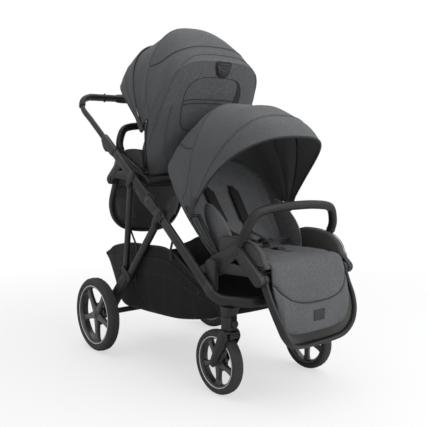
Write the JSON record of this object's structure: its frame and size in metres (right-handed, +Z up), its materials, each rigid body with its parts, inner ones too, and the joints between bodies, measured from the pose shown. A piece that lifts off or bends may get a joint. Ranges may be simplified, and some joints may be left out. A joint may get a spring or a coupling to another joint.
{
  "type": "convertible double stroller",
  "caption": "Folding stroller with two reclining bucket seats, canopies, bumper bars, a cloth basket and swivelling front casters.",
  "frame": {"origin": "ground under the middle of the stroller's bounding box", "axes": "+Z up, the front of the stroller faces -Y and the pushing handle is at +Y, +X is the pusher's left"},
  "size_m": [0.623, 1.147, 1.2506],
  "materials": {
    "frame": "satin black powder coat",
    "plastic": "fine mould texture",
    "rim": "glossy, with a thin silver ring",
    "tyre": "matt foam-filled rubber",
    "cover": "grey melange woven cloth",
    "cushion": "grey melange woven cloth, padded",
    "webbing": "black woven webbing",
    "basket": "black coated cloth",
    "grip": "stitched black leatherette"
  },
  "bodies": {
    "front_frame": {"front_tube_right": "frame", "front_tube_left": "frame", "front_crossbar": "frame", "caster_housing_right": "plastic", "caster_housing_left": "plastic", "basket": "basket", "front_seat_frame": "plastic", "front_seat_pad": "cushion", "front_harness": "webbing", "front_buckle": "plastic"},
    "upper_frame": {"upper_tube_right": "frame", "upper_tube_left": "frame", "rear_seat_frame": "plastic", "rear_seat_pad": "cushion", "rear_harness": "webbing", "rear_buckle": "plastic"},
    "rear_frame": {"rear_leg_right": "frame", "rear_leg_left": "frame", "rear_axle": "frame"},
    "strut_right": {"strut_right": "frame"},
    "strut_left": {"strut_left": "frame"},
    "handle": {"handle_bar": "frame", "handle_grip": "grip"},
    "height_button_right": {"height_button_right": "plastic"},
    "height_button_left": {"height_button_left": "plastic"},
    "caster_right": {"caster_fork_right": "plastic"},
    "front_wheel_right": {"front_rim_right": "rim", "front_tyre_right": "tyre"},
    "swivel_lock_right": {"swivel_lock_right": "plastic"},
    "rear_wheel_right": {"rear_rim_right": "rim", "rear_tyre_right": "tyre"},
    "caster_left": {"caster_fork_left": "plastic"},
    "front_wheel_left": {"front_rim_left": "rim", "front_tyre_left": "tyre"},
    "swivel_lock_left": {"swivel_lock_left": "plastic"},
    "rear_wheel_left": {"rear_rim_left": "rim", "rear_tyre_left": "tyre"},
    "brake": {"brake_pedal": "plastic"},
    "front_back": {"front_back_frame": "frame", "front_back_shell": "cover", "front_back_pad": "cushion", "front_canopy_hood": "cover"},
    "front_canopy": {"front_canopy_visor": "cover"},
    "front_recline_handle": {"front_recline_handle": "plastic"},
    "front_footrest": {"front_footrest_bow": "frame", "front_calf_pad": "cushion"},
    "front_bumper": {"front_bumper_bar": "grip"},
    "front_buckle_button": {"front_buckle_button": "plastic"},
    "rear_back": {"rear_back_frame": "frame", "rear_back_shell": "cover", "rear_back_pad": "cushion", "rear_canopy_hood": "cover"},
    "rear_canopy": {"rear_canopy_visor": "cover"},
    "rear_recline_handle": {"rear_recline_handle": "plastic"},
    "rear_footrest": {"rear_footrest_bow": "frame", "rear_calf_pad": "cushion"},
    "rear_bumper": {"rear_bumper_bar": "grip"},
    "rear_buckle_button": {"rear_buckle_button": "plastic"}
  },
  "joints": [
    {"name": "fold", "type": "hinge", "parent": "front_frame", "child": "upper_frame", "pos_m": [0, 0.03004, 0.611], "axis": [-1, 0, 0], "range_deg": [0, 50], "deforming": ["basket"]},
    {"name": "leg_fold", "type": "hinge", "parent": "front_frame", "child": "rear_frame", "pos_m": [0, -0.0089, 0.53524], "axis": [-1, 0, 0], "range_deg": [0, 43]},
    {"name": "strut_right_turn", "type": "hinge", "parent": "upper_frame", "child": "strut_right", "pos_m": [-0.243, 0.16495, 0.66426], "axis": [1, 0, 0], "range_deg": [0, 18]},
    {"name": "strut_left_turn", "type": "hinge", "parent": "upper_frame", "child": "strut_left", "pos_m": [0.243, 0.16495, 0.66426], "axis": [1, 0, 0], "range_deg": [0, 18]},
    {"name": "handle_slide", "type": "slide", "parent": "upper_frame", "child": "handle", "axis": [0, 0.8181, 0.575], "range_m": [-0.06, 0.06]},
    {"name": "height_button_right_press", "type": "slide", "parent": "upper_frame", "child": "height_button_right", "axis": [0, -0.575, 0.8181], "range_m": [0, 0.003], "stiffness_N_per_m": 400},
    {"name": "height_button_left_press", "type": "slide", "parent": "upper_frame", "child": "height_button_left", "axis": [0, -0.575, 0.8181], "range_m": [0, 0.003], "stiffness_N_per_m": 400},
    {"name": "caster_right_swivel", "type": "hinge", "parent": "front_frame", "child": "caster_right", "pos_m": [-0.208, -0.36496, 0], "axis": [0, 0, 1], "continuous": true},
    {"name": "front_wheel_right_spin", "type": "hinge", "parent": "caster_right", "child": "front_wheel_right", "pos_m": [-0.208, -0.31496, 0.10668], "axis": [1, 0, 0], "continuous": true},
    {"name": "swivel_lock_right_press", "type": "slide", "parent": "front_frame", "child": "swivel_lock_right", "axis": [0, 0, -1], "range_m": [0, 0.006]},
    {"name": "rear_wheel_right_spin", "type": "hinge", "parent": "rear_frame", "child": "rear_wheel_right", "pos_m": [-0.2885, 0.35204, 0.1448], "axis": [1, 0, 0], "continuous": true},
    {"name": "caster_left_swivel", "type": "hinge", "parent": "front_frame", "child": "caster_left", "pos_m": [0.208, -0.36496, 0], "axis": [0, 0, 1], "continuous": true},
    {"name": "front_wheel_left_spin", "type": "hinge", "parent": "caster_left", "child": "front_wheel_left", "pos_m": [0.208, -0.31496, 0.10668], "axis": [1, 0, 0], "continuous": true},
    {"name": "swivel_lock_left_press", "type": "slide", "parent": "front_frame", "child": "swivel_lock_left", "axis": [0, 0, -1], "range_m": [0, 0.006]},
    {"name": "rear_wheel_left_spin", "type": "hinge", "parent": "rear_frame", "child": "rear_wheel_left", "pos_m": [0.2885, 0.35204, 0.1448], "axis": [1, 0, 0], "continuous": true},
    {"name": "brake_press", "type": "hinge", "parent": "rear_frame", "child": "brake", "pos_m": [0, 0.35204, 0.1448], "axis": [-1, 0, 0], "range_deg": [0, 18]},
    {"name": "front_recline", "type": "hinge", "parent": "front_frame", "child": "front_back", "pos_m": [0, -0.29696, 0.421], "axis": [1, 0, 0], "range_deg": [0, 25], "deforming": ["front_harness"]},
    {"name": "front_canopy_turn", "type": "hinge", "parent": "front_back", "child": "front_canopy", "pos_m": [0, -0.19196, 0.575], "axis": [-1, 0, 0], "range_deg": [-12, 30]},
    {"name": "front_recline_handle_pull", "type": "slide", "parent": "front_back", "child": "front_recline_handle", "axis": [0, 0.4211, 0.907], "range_m": [0, 0.006], "stiffness_N_per_m": 300},
    {"name": "front_footrest_lift", "type": "hinge", "parent": "front_frame", "child": "front_footrest", "pos_m": [0, -0.49696, 0.401], "axis": [-1, 0, 0], "range_deg": [0, 60]},
    {"name": "front_bumper_pull", "type": "slide", "parent": "front_frame", "child": "front_bumper", "axis": [0, -0.5, 0.866], "range_m": [0, 0.03]},
    {"name": "front_buckle_press", "type": "slide", "parent": "front_frame", "child": "front_buckle_button", "axis": [0, 0, -1], "range_m": [0, 0.002], "stiffness_N_per_m": 400},
    {"name": "rear_recline", "type": "hinge", "parent": "upper_frame", "child": "rear_back", "pos_m": [0, 0.17704, 0.697], "axis": [-1, 0, 0], "range_deg": [0, 12], "deforming": ["rear_harness"]},
    {"name": "rear_canopy_turn", "type": "hinge", "parent": "rear_back", "child": "rear_canopy", "pos_m": [0, 0.10216, 0.86769], "axis": [1, 0, 0], "range_deg": [-12, 30]},
    {"name": "rear_recline_handle_pull", "type": "slide", "parent": "rear_back", "child": "rear_recline_handle", "axis": [0, -0.2471, 0.969], "range_m": [0, 0.006], "stiffness_N_per_m": 300},
    {"name": "rear_footrest_lift", "type": "hinge", "parent": "upper_frame", "child": "rear_footrest", "pos_m": [0, 0.37704, 0.677], "axis": [1, 0, 0], "range_deg": [0, 60]},
    {"name": "rear_bumper_pull", "type": "slide", "parent": "upper_frame", "child": "rear_bumper", "axis": [0, 0.5, 0.866], "range_m": [0, 0.03]},
    {"name": "rear_buckle_press", "type": "slide", "parent": "upper_frame", "child": "rear_buckle_button", "axis": [0, 0, -1], "range_m": [0, 0.002], "stiffness_N_per_m": 400}
  ],
  "couplings": [
    {"joint": "leg_fold", "follows": "fold", "ratio": 0.85},
    {"joint": "strut_right_turn", "follows": "fold", "ratio": 0.35},
    {"joint": "strut_left_turn", "follows": "fold", "ratio": 0.35}
  ]
}
